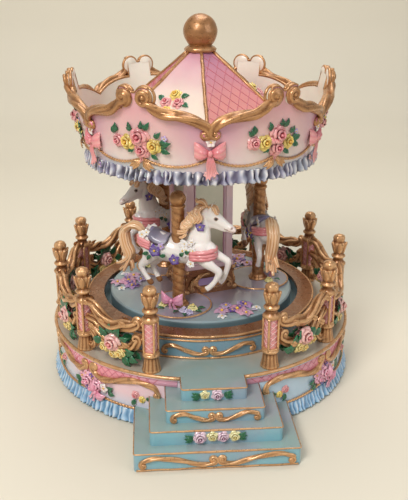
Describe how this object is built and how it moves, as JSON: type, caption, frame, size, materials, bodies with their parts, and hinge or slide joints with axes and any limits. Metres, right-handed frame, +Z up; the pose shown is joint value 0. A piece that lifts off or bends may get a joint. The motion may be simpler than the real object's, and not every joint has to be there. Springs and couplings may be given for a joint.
{
  "type": "wind up music box",
  "caption": "Wind-up carousel music box: horses, mirrored column and scalloped canopy turn on a fenced, stepped resin base while a pinned cylinder plucks a steel comb.",
  "frame": {"origin": "on the turning axis at the resting surface", "axes": "+Z up along the turning axis; the steps are at the front, towards -Y; +X to the right seen from the front"},
  "size_m": [0.1704, 0.2005, 0.1971],
  "materials": {
    "pastel_resin": "painted cast resin under clear gloss, pink to blue",
    "blue_resin": "painted cast resin under clear gloss, grey blue",
    "ruffle_resin": "painted cast resin under clear gloss, mid blue",
    "gold_resin": "antique gold paint on cast resin",
    "canopy_resin": "painted cast resin under clear gloss, pink to cream",
    "roof_resin": "painted cast resin under clear gloss, cream and pink",
    "horse_resin": "painted cast resin under clear gloss, white with caramel mane",
    "column_resin": "painted cast resin under clear gloss, lilac pink",
    "mirror": "small silvered mirror",
    "plate_plastic": "dark moulded closing plate",
    "felt": "glued felt",
    "zinc": "die-cast metal",
    "steel": "plain steel",
    "brass": "turned brass",
    "fly_plastic": "moulded plastic"
  },
  "bodies": {
    "base": {"base_drum": "pastel_resin", "base_steps": "blue_resin", "base_ruffle": "ruffle_resin", "fence_posts": "gold_resin", "fence_rails": "gold_resin", "stage_riser": "blue_resin", "stage_ring": "gold_resin", "spindle_bush": "brass", "closing_plate": "plate_plastic", "felt_ring": "felt", "closing_plate_screws": "steel", "movement_bedplate": "zinc", "movement_screws": "steel", "comb": "steel", "comb_screws": "steel", "governor_frame": "steel"},
    "carousel": {"turntable": "blue_resin", "horse_plate_1": "column_resin", "pole_1": "gold_resin", "horse_1": "horse_resin", "horse_plate_2": "column_resin", "pole_2": "gold_resin", "horse_2": "horse_resin", "horse_plate_3": "column_resin", "pole_3": "gold_resin", "horse_3": "horse_resin", "column_plinth": "gold_resin", "column": "column_resin", "column_mirrors": "mirror", "canopy_ceiling": "canopy_resin", "canopy_valance": "canopy_resin", "canopy_scrolls": "gold_resin", "canopy_ruffle": "ruffle_resin", "canopy_roof": "roof_resin", "roof_ribs": "gold_resin", "finial_collar": "gold_resin", "finial_ball": "gold_resin", "drive_spindle": "brass", "spindle_screws": "steel", "spring_barrel": "brass", "mainspring": "steel", "crown_wheel": "brass"},
    "key": {"winding_key": "steel"},
    "cylinder": {"pinned_cylinder": "brass", "worm_wheel": "fly_plastic"},
    "fly": {"governor_fly": "fly_plastic"}
  },
  "joints": [
    {"name": "carousel_spin", "type": "hinge", "parent": "base", "child": "carousel", "pos_m": [0, 0, 0], "axis": [0, 0, 1], "continuous": true},
    {"name": "key_turn", "type": "hinge", "parent": "base", "child": "key", "pos_m": [0, 0, 0.0056], "axis": [0, 0, 1], "continuous": true},
    {"name": "cylinder_spin", "type": "hinge", "parent": "base", "child": "cylinder", "pos_m": [0.0236, 0, 0.021], "axis": [1, 0, 0], "continuous": true},
    {"name": "fly_spin", "type": "hinge", "parent": "base", "child": "fly", "pos_m": [0.0341, 0.00705, 0.02], "axis": [0, 0, 1], "continuous": true}
  ],
  "couplings": [
    {"joint": "cylinder_spin", "follows": "carousel_spin", "ratio": 4},
    {"joint": "fly_spin", "follows": "carousel_spin", "ratio": 96}
  ]
}
